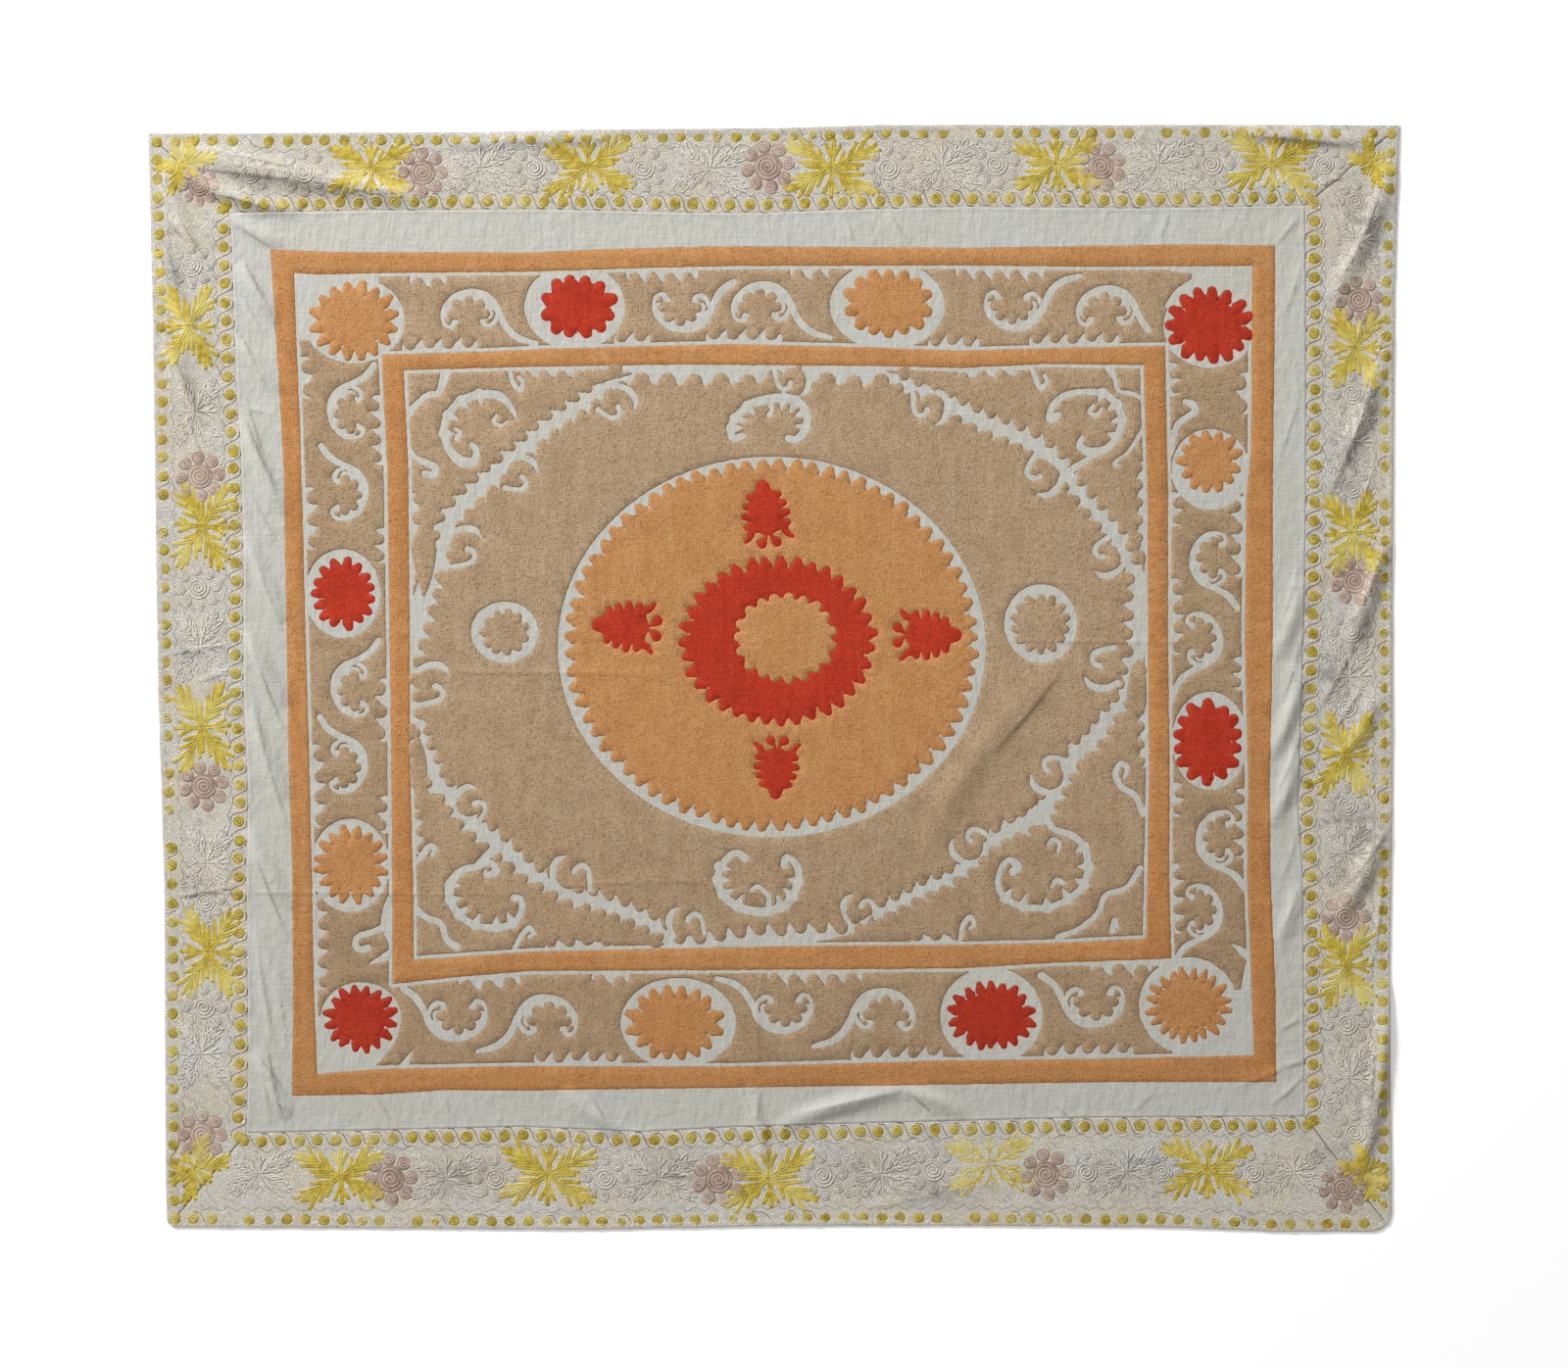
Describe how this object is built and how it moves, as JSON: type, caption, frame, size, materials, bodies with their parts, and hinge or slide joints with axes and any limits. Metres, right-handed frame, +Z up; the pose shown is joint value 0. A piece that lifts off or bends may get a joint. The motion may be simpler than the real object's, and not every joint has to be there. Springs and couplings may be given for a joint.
{
  "type": "suzani embroidered textile",
  "caption": "Large flat cotton cloth with couched medallion, scroll and rosette embroidery, and a sewn-on border of figured strips mitred at the corners.",
  "frame": {"origin": "on the surface the cloth lies on, under the middle of its outline", "axes": "+X along the longer side, +Y towards the top of the design, +Z up out of the embroidered face"},
  "size_m": [2.2, 1.946, 0.0115],
  "materials": {
    "cotton_ground": "plain-woven bleached cotton, matt",
    "border_cloth": "pale cotton covered with tone-on-tone chain stitch, slight silk sheen",
    "thread_tan": "couched floss, faded tan, soft sheen along the stitch",
    "thread_orange": "couched floss, faded orange",
    "thread_red": "couched floss, madder red",
    "thread_yellow": "chain-stitched art silk, yellow, slight sheen",
    "thread_rose": "chain-stitched art silk, greyed rose"
  },
  "bodies": {
    "root": {"centre_panel": "cotton_ground", "border_strip_top": "border_cloth", "border_strip_right": "border_cloth", "border_strip_bottom": "border_cloth", "border_strip_left": "border_cloth"}
  },
  "joints": []
}
